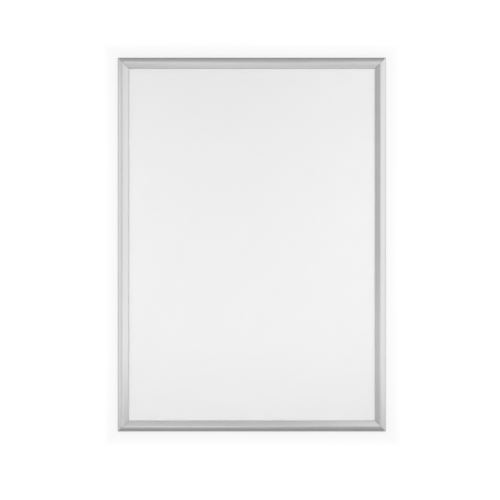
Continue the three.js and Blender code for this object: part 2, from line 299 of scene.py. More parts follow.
# %% Soft lamps
LAMPS = {
    "front_softbox": {
        "place": (-0.305, -1.225, -0.42),
        "aim": (0, 0, -0.42),
        "size": (0.63, 1.7),
        "level": 0.86,
    },
    "right_softbox": {
        "place": (0.65, -0.575, -0.31),
        "aim": (-0.02, 0, -0.31),
        "size": (1.38, 1.26),
        "level": 0.8,
    },
    "left_softbox": {
        "place": (-0.675, -0.275, -0.42),
        "aim": (-0.479, 0, -0.42),
        "size": (0.43, 1.0),
        "level": 0.72,
    },
    "low_strip_light": {
        "place": (0, -0.6, -0.72),
        "aim": (0, 0, -0.72),
        "size": (0.6, 0.15),
        "level": 1.5,
    },
}


def soft_lamp(name, place, aim, size, level):
    """An area lamp. Its level is how bright it looks, where 1 looks white."""
    data = bpy.data.lights.new(name, "AREA")
    data.shape = "RECTANGLE"
    data.size = size[0]
    data.size_y = size[1]
    data.energy = level * math.pi * size[0] * size[1]
    lamp = bpy.data.objects.new(name, data)
    lamp.location = place
    towards = Vector(aim) - lamp.location
    lamp.rotation_euler = towards.to_track_quat("-Z", "Y").to_euler()
    lamp.visible_camera = False
    bpy.context.scene.collection.objects.link(lamp)
    print(name, round(data.energy, 2), "watts")


for name, facts in LAMPS.items():
    soft_lamp(name, **facts)

# %% [markdown]
# ## From a shape to an object
# Every new shape is drawn as a bmesh, which holds only geometry, and one small function
# turns it into an object of the scene.

# %% From a shape to an object
def as_object(shape, name):
    """Makes an object of a bmesh, which is used up."""
    mesh = bpy.data.meshes.new(name)
    shape.to_mesh(mesh)
    shape.free()
    made = bpy.data.objects.new(name, mesh)
    bpy.context.scene.collection.objects.link(made)
    return made


# %% [markdown]
# ## The wall
# The frame hangs on a white wall, and a faint soft shadow lies on it all round, partly real
# and partly painted. Part of the wall's white is its own glow and a smaller share is lit
# paint, which takes the real shadow. The glow is dimmer close to the frame, a painted shade
# that widens the soft shadow, and grows away from it, so that the far wall is plain white.
# The camera and the metal see it, but it gives no light of its own to the frame. It is shown
# from the front only, and not where the frame covers it, so that the back can be looked at
# as well.

# %% Wall
WALL_SIZE = 8
WALL_BEHIND = 0.5 * MM
WALL_PAINT = 0.2
# The glow is lowest at the frame's edge and rises to plain white further out: painted shade
# round the frame.
PAINTED_SHADE_GLOW = 0.75
GLOW_FAR = 1.0
PAINTED_SHADE_FROM = 5 * MM
PAINTED_SHADE_TO = 100 * MM


def make_wall():
    shape = bmesh.new()
    bmesh.ops.create_grid(shape, x_segments=1, y_segments=1, size=WALL_SIZE / 2)
    upright = Matrix.Rotation(math.radians(90), 4, "X")
    place = Matrix.Translation((middle.x, WALL_BEHIND, middle.z))
    shape.transform(place @ upright)
    wall = as_object(shape, "wall")
    wall.visible_diffuse = False
    wall.visible_volume_scatter = False
    wall.visible_shadow = False
    return wall


def from_the_front(recipe, shader, hidden=0):
    """Shows a surface from its front only, and not where it is hidden."""
    nothing = recipe.node("ShaderNodeBsdfTransparent")
    from_behind = recipe.node("ShaderNodeNewGeometry", {}, {}, "Backfacing")
    clear = recipe.maths("MAXIMUM", from_behind, hidden)
    return recipe.node("ShaderNodeMixShader", {}, {0: clear, 1: shader, 2: nothing})


def distance_from_frame(recipe):
    """How far a point of the wall lies outside the frame, in metres."""
    place = recipe.place()
    across = recipe.part(place, "X") - middle.x
    up = recipe.part(place, "Z") - middle.z
    beside = recipe.maths("ABSOLUTE", across) - frame_width / 2
    above = recipe.maths("ABSOLUTE", up) - frame_height / 2
    return recipe.maths("MAXIMUM", beside, above)


def wall_finish():
    material, recipe = new_material("wall_white")
    distance = distance_from_frame(recipe)
    # Dimmer glow close to the frame is painted shade, added to the real shadow on the lit
    # paint.
    sockets = {
        "Value": distance,
        "From Min": PAINTED_SHADE_FROM,
        "From Max": PAINTED_SHADE_TO,
        "To Min": PAINTED_SHADE_GLOW,
        "To Max": GLOW_FAR,
    }
    level = recipe.node("ShaderNodeMapRange", {"interpolation_type": "SMOOTHSTEP"}, sockets)
    glow_with_painted_shade = recipe.node("ShaderNodeEmission", {}, {"Color": level})
    paint = recipe.node("ShaderNodeBsdfDiffuse", {}, {"Color": (WALL_PAINT,) * 3 + (1,)})
    white = recipe.node("ShaderNodeAddShader", {}, {0: glow_with_painted_shade, 1: paint})
    covered = recipe.maths("LESS_THAN", distance, 0)
    recipe.finish(from_the_front(recipe, white, covered))
    return material


wall = make_wall()
wall.data.materials.append(wall_finish())
print("wall:", WALL_SIZE, "m square")

# %% [markdown]
# ## The floor
# A pale floor lies well below the frame. It is plain pale paint under the object, and
# fades into the grey of the surroundings further out, as a photographer's paper sweep
# does, so that no hard horizon crosses the other views.

# %% Floor
FLOOR_BELOW = 0.63
FLOOR_RADIUS = 9
FLOOR_SIDES = 96
FLOOR_PAINT = shade(205, 205, 205)
FADE_FROM = 0.1
FADE_TO = 2.2


def make_floor():
    shape = bmesh.new()
    bmesh.ops.create_circle(shape, cap_ends=True, segments=FLOOR_SIDES, radius=FLOOR_RADIUS)
    shape.transform(Matrix.Translation((middle.x, 0, cad_low.z - FLOOR_BELOW)))
    return as_object(shape, "floor")


def floor_finish():
    material, recipe = new_material("floor_paint")
    flat = recipe.scaled(recipe.place(), (1, 1, 0))
    distance = recipe.node("ShaderNodeVectorMath", {"operation": "LENGTH"}, {0: flat}, "Value")
    sockets = {"Value": distance, "From Min": FADE_FROM, "From Max": FADE_TO}
    faded = recipe.node("ShaderNodeMapRange", {"interpolation_type": "SMOOTHSTEP"}, sockets)
    paint = recipe.node("ShaderNodeBsdfDiffuse", {}, {"Color": FLOOR_PAINT})
    far = recipe.node("ShaderNodeEmission", {}, {"Strength": GREY_LEVEL})
    sweep = recipe.node("ShaderNodeMixShader", {}, {0: faded, 1: paint, 2: far})
    recipe.finish(from_the_front(recipe, sweep))
    return material


floor = make_floor()
floor.data.materials.append(floor_finish())
print("floor:", FLOOR_BELOW, "m below the frame")

# %% [markdown]
# ## Satin anodised aluminium
# The rails and covers are aluminium extrusions. Pushing the hot metal through a die leaves
# fine lines along its length, the etching bath turns its mirror into satin, and the clear
# anodic layer keeps it so. Each bar carries the coordinates that it was drawn in, so one
# finish runs along every bar, whichever way the bar lies.

# %% Satin anodised aluminium
ALUMINIUM_DARK = shade(191, 191, 191)
ALUMINIUM_PALE = shade(204, 204, 204)


def satin_aluminium():
    material, recipe = new_material("satin_aluminium")
    drawn = recipe.drawn()
    bands = recipe.noise(drawn, (0.8, 3 * MM, 3 * MM))
    lines = recipe.noise(drawn, (0.15, 0.25 * MM, 0.25 * MM))
    etch = recipe.noise(drawn, 0.15 * MM)
    handling = recipe.noise(drawn, 45 * MM, detail=4)
    tone = 0.5 + (bands - 0.5) * 0.9 + (lines - 0.5) * 0.5 + (handling - 0.5) * 0.3
    relief = lines * 0.7 + etch * 0.3
    sockets = {
        "Base Color": recipe.between(tone, ALUMINIUM_DARK, ALUMINIUM_PALE),
        "Metallic": 1,
        "Roughness": 0.35 + (handling - 0.5) * 0.08 + (lines - 0.5) * 0.06,
        "Normal": recipe.bump(relief, 0.01 * MM, 0.5),
    }
    recipe.finish_surface(sockets)
    return material


# %% [markdown]
# The mitred ends are cut with a fine saw after anodising, so they show bare, slightly
# brighter metal with the marks of the blade across the cut.

# %% Sawn aluminium
def sawn_aluminium():
    material, recipe = new_material("sawn_aluminium")
    marks = recipe.noise(recipe.drawn(), (0.3 * MM, 12 * MM, 0.3 * MM))
    tone = 0.5 + (marks - 0.5) * 1.2
    sockets = {
        "Base Color": recipe.between(tone, shade(196, 197, 198), shade(222, 223, 224)),
        "Metallic": 1,
        "Roughness": 0.3 + (marks - 0.5) * 0.15,
        "Normal": recipe.bump(marks, 0.03 * MM, 0.6),
    }
    recipe.finish_surface(sockets)
    return material


# %% [markdown]
# ## Steel, board, paper and film
# The leaf springs are bright rolled strip, a little darker and warmer than the aluminium.
# The brackets and screws are zinc plated, which gives a cool mottled tone. Both patterns
# are noise, stretched along the strip for the one and round for the other.

# %% Spring steel and zinc plate
def spring_steel():
    material, recipe = new_material("spring_steel")
    drawn = recipe.drawn()
    rolled = recipe.noise(drawn, (18 * MM, 0.3 * MM, 0.3 * MM))
    stain = recipe.noise(drawn, 9 * MM, detail=3)
    tone = 0.5 + (rolled - 0.5) * 0.8 + (stain - 0.5) * 0.6
    sockets = {
        "Base Color": recipe.between(tone, shade(138, 137, 134), shade(172, 171, 168)),
        "Metallic": 1,
        "Roughness": 0.28 + (stain - 0.5) * 0.14,
        "Normal": recipe.bump(rolled, 0.01 * MM, 0.5),
    }
    recipe.finish_surface(sockets)
    return material


def zinc_plate():
    material, recipe = new_material("zinc_plate")
    place = recipe.place()
    cloud = recipe.noise(place, 4 * MM, detail=3)
    grain = recipe.noise(place, 0.3 * MM)
    tone = 0.5 + (cloud - 0.5) * 1.1 + (grain - 0.5) * 0.4
    sockets = {
        "Base Color": recipe.between(tone, shade(168, 172, 176), shade(198, 201, 204)),
        "Metallic": 1,
        "Roughness": 0.34 + (cloud - 0.5) * 0.16,
        "Normal": recipe.bump(grain, 0.01 * MM, 0.5),
    }
    recipe.finish_surface(sockets)
    return material


# %% [markdown]
# The back board is white polystyrene with a faint pebbled skin. The poster is a blank
# sheet of paper, whose fibres show only as a slight unevenness of tone.

# %% Board and paper
def white_board():
    material, recipe = new_material("white_board")
    place = recipe.place()
    pebbles = recipe.noise(place, 0.9 * MM)
    scuffs = recipe.noise(place, (60 * MM, 60 * MM, 25 * MM), detail=5)
    tone = 0.5 + (scuffs - 0.5) * 0.9 + (pebbles - 0.5) * 0.2
    sockets = {
        "Base Color": recipe.between(tone, shade(226, 226, 225), shade(238, 238, 237)),
        "Roughness": 0.48 + (scuffs - 0.5) * 0.2,
        "Normal": recipe.bump(pebbles, 0.04 * MM, 0.5),
    }
    recipe.finish_surface(sockets)
    return material


def blank_paper():
    material, recipe = new_material("blank_paper")
    place = recipe.place()
    fibres = recipe.noise(place, (0.4 * MM, 0.4 * MM, 1.1 * MM), detail=3)
    pulp = recipe.noise(place, 6 * MM)
    tone = 0.5 + (fibres - 0.5) * 0.6 + (pulp - 0.5) * 0.5
    sockets = {
        "Base Color": recipe.between(tone, shade(240, 240, 240), shade(245, 245, 245)),
        "Roughness": 0.85,
        "Normal": recipe.bump(fibres, 0.02 * MM, 0.4),
    }
    recipe.finish_surface(sockets)
    return material


# %% [markdown]
# The clear sheet has a fine matt surface against glare. It could be modelled as rough
# glass, which is slow and lets little lamp light through to the paper. A thin white haze,
# mostly see-through, looks the same over a blank poster and stays cheap.

# %% Anti-glare sheet
def anti_glare():
    material, recipe = new_material("anti_glare")
    matt = recipe.noise(recipe.place(), 0.5 * MM)
    sockets = {
        "Base Color": shade(247, 247, 247),
        "Roughness": 0.34 + (matt - 0.5) * 0.1,
        "Alpha": 0.22 + (matt - 0.5) * 0.06,
        "Normal": recipe.bump(matt, 0.003 * MM, 0.3),
    }
    recipe.finish_surface(sockets)
    return material


satin = satin_aluminium()
sawn = sawn_aluminium()
spring_finish = spring_steel()
zinc = zinc_plate()
board = white_board()
paper = blank_paper()
film = anti_glare()
print("finishes:", len(bpy.data.materials))

# %% [markdown]
# ## Drawing a section
# A bar has the same section from end to end, so the section is drawn once and pushed out
# along the bar, as the die does. It could be typed in as a list of vertices. Here a pen
# walks round it instead: straight steps extrude the last vertex, arcs spin it, and the
# corners are rounded with a vertex bevel. Every bar is drawn as the top one, by its inset
# from the outer edge and its height off the wall.

# %% A pen for sections
ROUNDING_STEPS = 5
FINE_ROUND = 0.2
SOFT_ROUND = 0.3
WIDE_ROUND = 0.4


def on_section(inset, height):
    """The point of a section, given in millimetres, in the plane across the bar."""
    return Vector((0, -height * MM, -inset * MM))


class Outline:
    """Draws a closed outline with bmesh operators. All its sizes are millimetres."""

    def __init__(self, inset, height):
        self.mesh = bmesh.new()
        self.tip = self.mesh.verts.new(on_section(inset, height))
        self.first = self.tip
        self.corners = {}

    def line(self, inset, height, rounded=0):
        """Draws to a point. The corner there may be rounded, from so far before it."""
        made = bmesh.ops.extrude_vert_indiv(self.mesh, verts=[self.tip])
        self.tip = made["verts"][0]
        self.tip.co = on_section(inset, height)
        if rounded:
            self.corners.setdefault(rounded, []).append(self.tip)

    def arc(self, centre, degrees, steps, stretch=1):
        """Turns round a centre, anticlockwise with the outer edge on the left.
        A stretch other than 1 scales the heights and makes it part of an ellipse."""
        pivot = on_section(*centre)
        space = Matrix.Translation(-pivot)
        start = self.tip
        bmesh.ops.scale(self.mesh, vec=(1, 1 / stretch, 1), space=space, verts=[start])
        before = set(self.mesh.verts)
        made = bmesh.ops.spin(
            self.mesh,
            geom=[start],
            cent=pivot,
            axis=(1, 0, 0),
            angle=-math.radians(degrees),
            steps=steps,
        )
        turned = [vertex for vertex in self.mesh.verts if vertex not in before]
        bmesh.ops.scale(self.mesh, vec=(1, stretch, 1), space=space, verts=[start, *turned])
        self.tip = made["geom_last"][0]

    def filled(self):
        """Closes the outline, fills it and rounds its corners."""
        self.mesh.edges.new((self.tip, self.first))
        bmesh.ops.edgeloop_fill(self.mesh, edges=self.mesh.edges[:])
        for reach, vertices in self.corners.items():
            rounded_off(self.mesh, vertices, reach, "VERTICES", ROUNDING_STEPS)
        return self.mesh


def rounded_off(shape, geometry, size, affect, segments, clamp=False):
    """Bevels the given vertices or edges by a size in millimetres."""
    bmesh.ops.bevel(
        shape,
        geom=geometry,
        offset=size * MM,
        segments=segments,
        profile=0.5,
        affect=affect,
        clamp_overlap=clamp,
        material=-1,
    )


# %% [markdown]
# ## From section to bar
# The filled section is moved to one end of the bar and extruded to the other. Two slanted
# planes then cut the mitres, and the cuts are filled. Half of the fine gap between two
# bars is left at each end.

# %% Extruding and mitring
MITRE_GAP = 0.4 * MM


def vertices_in(geometry):
    return [item for item in geometry if isinstance(item, bmesh.types.BMVert)]


def edges_in(geometry):
    return [item for item in geometry if isinstance(item, bmesh.types.BMEdge)]


def thickened(flat, step):
    """Extrudes all the faces of a flat shape by a step and closes it."""
    made = bmesh.ops.extrude_face_region(flat, geom=flat.faces[:])
    bmesh.ops.translate(flat, vec=step, verts=vertices_in(made["geom"]))
    bmesh.ops.recalc_face_normals(flat, faces=flat.faces[:])
    return flat


def pushed_out(section, length):
    """Extrudes a filled section along X, centred on x = 0."""
    bmesh.ops.translate(section, vec=(-length / 2, 0, 0), verts=section.verts[:])
    return thickened(section, (length, 0, 0))


def mitred(bar, length):
    set_back = MITRE_GAP / math.sqrt(2)
    for side in (-1, 1):
        cut = bmesh.ops.bisect_plane(
            bar,
            geom=bar.verts[:] + bar.edges[:] + bar.faces[:],
            plane_co=(side * (length / 2 - set_back), 0, 0),
            plane_no=(side, 0, -1),
            clear_outer=True,
        )
        bmesh.ops.edgeloop_fill(bar, edges=edges_in(cut["geom_cut"]))
    bmesh.ops.recalc_face_normals(bar, faces=bar.faces[:])
    return bar


# %% [markdown]
# ## Holes and notches
# Cutters such as drills and cutting blocks are shapes of their own, taken away from the
# bar with Boolean modifiers. The result is read back into a bmesh, so that its edges can
# be broken afterwards. A cutter reaches a little past the metal, so that no skin is left.

# %% Cutting tools
OVERCUT = 1


def carved(body, cutters):
    """Takes the cutters away from a bmesh and returns what is left."""
    target = as_object(body, "target")
    tools = [as_object(cutter, "cutter") for cutter in cutters]
    for tool in tools:
        step = target.modifiers.new("cut", "BOOLEAN")
        step.operation = "DIFFERENCE"
        step.solver = "EXACT"
        step.object = tool
    depsgraph = bpy.context.evaluated_depsgraph_get()
    result = bmesh.new()
    result.from_mesh(target.evaluated_get(depsgraph).to_mesh())
    for made in [target, *tools]:
        mesh = made.data
        bpy.data.objects.remove(made)
        bpy.data.meshes.remove(mesh)
    return result


def block(along, inset, height):
    """A cutting block from its ranges: along the bar in metres, the rest in millimetres."""
    shape = bmesh.new()
    bmesh.ops.create_cube(shape, size=1)
    low = on_section(inset[0], height[0]) + Vector((along[0], 0, 0))
    high = on_section(inset[1], height[1]) + Vector((along[1], 0, 0))
    size = high - low
    bmesh.ops.scale(shape, vec=[abs(part) for part in size], verts=shape.verts[:])
    bmesh.ops.translate(shape, vec=(low + high) / 2, verts=shape.verts[:])
    return shape


# %% [markdown]
# ## Finished pieces
# No real edge is perfectly sharp, so every hard edge is broken with a tiny bevel. Soft
# curves are shaded smooth, and edges over fifteen degrees stay crisp. Before a piece is
# turned into its place its coordinates are stored on it, for the finish. The place goes
# into the mesh, and the object stays at the origin.

# %% Finishing a piece
HARD_EDGE = math.radians(35)
BROKEN_EDGE_STEPS = 2
CRISP_ANGLE = math.radians(15)
CUT_FACE = 0.6


def broken_edges(shape, size):
    """Bevels every hard edge of a shape by a size in millimetres."""
    hard = [edge for edge in shape.edges if len(edge.link_faces) == 2]
    hard = [edge for edge in hard if edge.calc_face_angle() > HARD_EDGE]
    rounded_off(shape, hard, size, "EDGES", BROKEN_EDGE_STEPS, clamp=True)
    return shape


def finished(shape, name, place, materials, along=0):
    """Makes a named object of a shape. Along shifts its pattern, in metres."""
    open_edges = [edge for edge in shape.edges if not edge.is_manifold]
    print(name, "faces:", len(shape.faces), "open edges:", len(open_edges))
    drawn = [vertex.co + Vector((along, 0, 0)) for vertex in shape.verts]
    for face in shape.faces:
        face.smooth = True
        is_cut = len(materials) > 1 and abs(face.normal.x) > CUT_FACE
        face.material_index = 1 if is_cut else 0
    shape.transform(place)
    made = as_object(shape, name)
    mesh = made.data
    mesh.set_sharp_from_angle(angle=CRISP_ANGLE)
    stored = mesh.attributes.new("drawn", "FLOAT_VECTOR", "POINT")
    stored.data.foreach_set("vector", [part for point in drawn for part in point])
    for material in materials:
        mesh.materials.append(material)
    return made


# %% [markdown]
# ## The four sides
# A bar is drawn as the top one, with its outer edge on z = 0. The others are the same bar
# turned round the frame's middle in quarter turns.

# %% Places of the four sides
def side_place(turn, reach):
    """Moves a bar drawn at the top out to its side of the frame."""
    outwards = Matrix.Translation((0, 0, reach))
    round_middle = Matrix.Rotation(math.radians(turn), 4, "Y")
    return Matrix.Translation((middle.x, 0, middle.z)) @ round_middle @ outwards


SIDES = {
    "top": {"turn": 0, "length": frame_width, "reach": frame_height / 2, "along": 0.0},
    "right": {"turn": 90, "length": frame_height, "reach": frame_width / 2, "along": 1.3},
    "bottom": {"turn": 180, "length": frame_width, "reach": frame_height / 2, "along": 2.7},
    "left": {"turn": -90, "length": frame_height, "reach": frame_width / 2, "along": 4.1},
}
print("sides:", ", ".join(SIDES))

# %% [markdown]
# ## Snap covers
# The cover is what the photograph shows of the frame: an outer face that curves up from
# the side to a crease, and an almost flat slope that falls to a rounded nose over the clear
# sheet. Inside it has a heel rib, which the leaf springs press on, and a bead on a short
# neck, which turns in the rail's socket.

# %% Section of a snap cover
FACE_WIDTH = 25.5
DEPTH = 12
CREST_INSET = 13.5
SKIRT_HEIGHT = 5.8
NOSE_TOP = 5.8
NOSE_ROUND = 1
NOSE_HEIGHT = 4.6
COVER_WALL = 1.3
HEEL = (5.2, 6.2)
HEEL_HEIGHT = 3.9
HINGE = (2.3, 4.6)
BEAD_RADIUS = 1.2
NECK_ANGLES = (112, 158)
NECK_TOP_INSET = 1.49


def round_hinge(radius, degrees):
    """The point at a radius and an angle from the hinge axis, in millimetres."""
    angle = math.radians(degrees)
    return HINGE[0] + radius * math.cos(angle), HINGE[1] + radius * math.sin(angle)


def cover_section():
    slope = math.atan((DEPTH - NOSE_TOP) / (FACE_WIDTH - CREST_INSET))
    centre = (CREST_INSET, SKIRT_HEIGHT)
    inner_crest = DEPTH - COVER_WALL / math.cos(slope)
    inner_reach = CREST_INSET - COVER_WALL
    inner_rise = inner_crest - SKIRT_HEIGHT
    lip_inset = FACE_WIDTH - COVER_WALL

    def inner_angle(inset):
        return math.degrees(math.asin((CREST_INSET - inset) / inner_reach))

    def inner_height(inset):
        return SKIRT_HEIGHT + inner_rise * math.cos(math.radians(inner_angle(inset)))

    pen = Outline(0, SKIRT_HEIGHT)
    pen.arc(centre, -90, steps=32, stretch=(DEPTH - SKIRT_HEIGHT) / CREST_INSET)
    pen.line(FACE_WIDTH, NOSE_TOP, rounded=NOSE_ROUND)
    pen.line(FACE_WIDTH, NOSE_HEIGHT)
    pen.line(lip_inset, NOSE_HEIGHT)
    lip_top = inner_crest - (lip_inset - CREST_INSET) * math.tan(slope)
    pen.line(lip_inset, lip_top, rounded=FINE_ROUND)
    pen.line(CREST_INSET, inner_crest)
    stretch = inner_rise / inner_reach
    pen.arc(centre, inner_angle(HEEL[1]), steps=8, stretch=stretch)
    pen.line(HEEL[1], HEEL_HEIGHT, rounded=SOFT_ROUND)
    pen.line(HEEL[0], HEEL_HEIGHT, rounded=SOFT_ROUND)
    pen.line(HEEL[0], inner_height(HEEL[0]))
    to_neck = inner_angle(NECK_TOP_INSET) - inner_angle(HEEL[0])
    pen.arc(centre, to_neck, steps=8, stretch=stretch)
    pen.line(*round_hinge(BEAD_RADIUS, NECK_ANGLES[0]))
    pen.arc(HINGE, NECK_ANGLES[1] - NECK_ANGLES[0] - 360, steps=40)
    return pen.filled()


# %% [markdown]
# At its ends a cover has lost the bead and the lowest part of the skirt. What lies outside
# the hinge axis swings inwards as a cover opens, and would meet the neighbour there. The
# notches are cut square with two blocks an end, after the mitre. Each notch is given by
# the insets that it starts and ends at and its depth from the bar's end.

# %% Snap covers
SKIRT_NOTCH = (-1, 0.8, 2.25)
BEAD_NOTCH = (0.5, 4.7, 3.8)
NOTCH_TOP = 7.11
COVER_EDGE = 0.12


def notch_cutters(length):
    cutters = []
    for inset_from, inset_to, depth in (SKIRT_NOTCH, BEAD_NOTCH):
        for side in (-1, 1):
            ends = (side * (length / 2 - depth * MM), side * (length / 2 + OVERCUT * MM))
            cutters.append(block(sorted(ends), (inset_from, inset_to), (0, NOTCH_TOP)))
    return cutters


def snap_cover(side, turn, length, reach, along):
    bar = mitred(pushed_out(cover_section(), length), length)
    bar = broken_edges(carved(bar, notch_cutters(length)), COVER_EDGE)
    name = "cover_extrusion_" + side
    cover = finished(bar, name, side_place(turn, reach), [satin, sawn], along)
    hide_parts("snap_cover_" + side)
    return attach(cover, "cover_" + side)


for side, facts in SIDES.items():
    snap_cover(side, **facts)

# %% [markdown]
# ## Base rails
# The rails carry everything else. Seen in section from the outer edge inwards there is a
# small foot, the socket that holds the cover's bead, a channel for brackets and springs,
# an upright rib that keeps the clear sheet in place, and a ledge under the back board.
# They show when a cover is open, and from behind.

# %% Section of a base rail
SOCKET_RADII = (1.5, 2.4)
SOCKET_ENDS = (95, -98)
FLOOR_THICKNESS = 1.25
FOOT = (0.3, 1.3)
FOOT_HEIGHT = 1.7
RIB = (12.6, 13.8)
RIB_TOP = 5.5
RIB_LIP = (3.15, 3.95)
RIB_LIP_INSET = 11.6
LEDGE_INSET = 24.5


def rail_section():
    inner, outer = SOCKET_RADII
    web_outer = HINGE[0] + inner
    web_angle = -math.degrees(math.acos(inner / outer))
    pen = Outline(FOOT[0], 0)
    pen.line(LEDGE_INSET, 0, rounded=FINE_ROUND)
    pen.line(LEDGE_INSET, FLOOR_THICKNESS, rounded=WIDE_ROUND)
    pen.line(RIB[1], FLOOR_THICKNESS, rounded=FINE_ROUND)
    pen.line(RIB[1], RIB_TOP, rounded=SOFT_ROUND)
    pen.line(RIB[0], RIB_TOP, rounded=SOFT_ROUND)
    pen.line(RIB[0], RIB_LIP[1], rounded=FINE_ROUND)
    pen.line(RIB_LIP_INSET, RIB_LIP[1], rounded=FINE_ROUND)
    pen.line(RIB_LIP_INSET, RIB_LIP[0], rounded=FINE_ROUND)
    pen.line(RIB[0], RIB_LIP[0])
    pen.line(RIB[0], FLOOR_THICKNESS, rounded=FINE_ROUND)
    pen.line(HINGE[0] + outer, FLOOR_THICKNESS, rounded=FINE_ROUND)
    pen.line(*round_hinge(outer, 0))
    pen.arc(HINGE, SOCKET_ENDS[0], steps=14)
    pen.line(*round_hinge(inner, SOCKET_ENDS[0]))
    pen.arc(HINGE, SOCKET_ENDS[1] - SOCKET_ENDS[0], steps=28)
    pen.line(*round_hinge(outer, SOCKET_ENDS[1]))
    pen.arc(HINGE, web_angle - SOCKET_ENDS[1], steps=8)
    pen.line(web_outer, FLOOR_THICKNESS, rounded=FINE_ROUND)
    pen.line(FOOT[1], FLOOR_THICKNESS)
    pen.line(FOOT[1], FOOT_HEIGHT, rounded=FINE_ROUND)
    pen.line(FOOT[0], FOOT_HEIGHT, rounded=SOFT_ROUND)
    return pen.filled()


# %% [markdown]
# The rails are drilled on the channel's middle line. Near the corners the holes are
# countersunk from behind for the bracket screws. The top and bottom rails also have two
# plain holes each for the wall screws.

# %% Drills
SCREW_LINE = 8.65
SCREW_FROM_CORNER = 38
SCREW_HEAD_RADIUS = 2.4
SCREW_SHANK_RADIUS = 1.3
SCREW_SINK = 0.1
SCREW_PLAY = 0.15
SEAT_PLAY = 0.1
SCREW_DRILL_REACH = 6
WALL_HOLE_RADIUS = 2.5
WALL_HOLE_FROM_END = 90
WALL_DRILL_REACH = 2.5
DRILL_SIDES = 32


def cone(radii, heights, along, inset):
    """A round cutter across the wall, from one height to another, in millimetres."""
    shape = bmesh.new()
    bmesh.ops.create_cone(
        shape,
        cap_ends=True,
        segments=DRILL_SIDES,
        radius1=radii[0] * MM,
        radius2=radii[1] * MM,
        depth=(heights[1] - heights[0]) * MM,
    )
    shape.transform(Matrix.Rotation(math.radians(90), 4, "X"))
    place = on_section(inset, sum(heights) / 2) + Vector((along, 0, 0))
    bmesh.ops.translate(shape, vec=place, verts=shape.verts[:])
    return shape


def screw_drills(along, inset):
    """A drill for the shank and a countersink for the head."""
    shank = SCREW_SHANK_RADIUS + SCREW_PLAY
    head = SCREW_HEAD_RADIUS + SCREW_PLAY
    seat = SCREW_SINK + SEAT_PLAY
    sink = (seat - OVERCUT, seat + head - shank)
    return [
        cone((shank, shank), (-OVERCUT, SCREW_DRILL_REACH), along, inset),
        cone((head + OVERCUT, shank), sink, along, inset),
    ]


# %% Base rails
RAIL_EDGE = 0.1
RAIL_PATTERN_SHIFT = 6


def base_rail(side, turn, length, reach, along):
    bar = mitred(pushed_out(rail_section(), length), length)
    from_middle = length / 2 - SCREW_FROM_CORNER * MM
    drills = screw_drills(-from_middle, SCREW_LINE) + screw_drills(from_middle, SCREW_LINE)
    if side in ("top", "bottom"):
        for end in (-1, 1):
            hole_along = end * (length / 2 - WALL_HOLE_FROM_END * MM)
            radii = (WALL_HOLE_RADIUS, WALL_HOLE_RADIUS)
            heights = (-OVERCUT, WALL_DRILL_REACH)
            drills.append(cone(radii, heights, hole_along, SCREW_LINE))
    bar = broken_edges(carved(bar, drills), RAIL_EDGE)
    name = "rail_extrusion_" + side
    shift = along + RAIL_PATTERN_SHIFT
    rail = finished(bar, name, side_place(turn, reach), [satin, sawn], shift)
    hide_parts("base_rail_" + side)
    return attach(rail, "base")


for side, facts in SIDES.items():
    base_rail(side, **facts)

# %% [markdown]
# ## Leaf springs
# Each cover is held shut by short leaves of spring steel: a foot lies flat in the channel
# under the rib's lip, and a blade bends up to press on the cover's heel. The strip starts
# as one edge across its thickness. The foot is an extrusion of that edge, the bend is a
# spin of a quarter turn and the blade is one more extrusion. The face that they sweep is
# then pushed out to the spring's length.

# %% Leaf springs
SPRING_LENGTH = 40
SPRING_THICKNESS = 0.5
SPRING_FOOT = (12.3, 9.3)
SPRING_FOOT_HEIGHT = 1.6
SPRING_BEND_RADIUS = 2.55
SPRING_TIP_HEIGHT = 4.4
SPRING_EDGE = 0.1
SPRING_COUNTS = {"top": 2, "right": 3, "bottom": 2, "left": 3}


def swept_edge(shape, edges, step):
    """Extrudes edges by a step and returns the new ones."""
    made = bmesh.ops.extrude_edge_only(shape, edges=edges)
    bmesh.ops.translate(shape, vec=step, verts=vertices_in(made["geom"]))
    return edges_in(made["geom"])


def leaf_shape():
    shape = bmesh.new()
    half = SPRING_THICKNESS / 2
    low = shape.verts.new(on_section(SPRING_FOOT[0], SPRING_FOOT_HEIGHT - half))
    high = shape.verts.new(on_section(SPRING_FOOT[0], SPRING_FOOT_HEIGHT + half))
    foot = on_section(SPRING_FOOT[1] - SPRING_FOOT[0], 0)
    edge = swept_edge(shape, [shape.edges.new((low, high))], foot)
    bend_height = SPRING_FOOT_HEIGHT + SPRING_BEND_RADIUS
    bend = bmesh.ops.spin(
        shape,
        geom=edge,
        cent=on_section(SPRING_FOOT[1], bend_height),
        axis=(1, 0, 0),
        angle=math.radians(90),
        steps=12,
    )
    blade = on_section(0, SPRING_TIP_HEIGHT - bend_height)
    swept_edge(shape, edges_in(bend["geom_last"]), blade)
    return shape


def leaf_spring(side, number, turn, length, reach, along):
    count = SPRING_COUNTS[side]
    shape = pushed_out(leaf_shape(), SPRING_LENGTH * MM)
    shape = broken_edges(shape, SPRING_EDGE)
    shift = ((number - 0.5) / count - 0.5) * length
    bmesh.ops.translate(shape, vec=(shift, 0, 0), verts=shape.verts[:])
    name = f"spring_strip_{side}_{number}"
    spring = finished(shape, name, side_place(turn, reach), [spring_finish], along)
    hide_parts(f"leaf_spring_{side}_{number}")
    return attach(spring, "base")


for side, facts in SIDES.items():
    for number in range(1, SPRING_COUNTS[side] + 1):
        leaf_spring(side, number, **facts)

# %% [markdown]
# ## Corner brackets
# A flat L of zinc plated steel lies in the channels of two rails and pulls the mitre
# together. It is drawn as an outline with its corners rounded, like the stamped blank that
# it is, and extruded by its thickness. The screw holes are drilled from behind.

# %% Places of the four corners
def corner_place(across, up, turn):
    """Moves a piece drawn at the top right corner to its own corner."""
    corner = (across * frame_width / 2, 0, up * frame_height / 2)
    to_corner = Matrix.Translation(Vector(corner) + Vector((middle.x, 0, middle.z)))
    return to_corner @ Matrix.Rotation(math.radians(turn), 4, "Y")


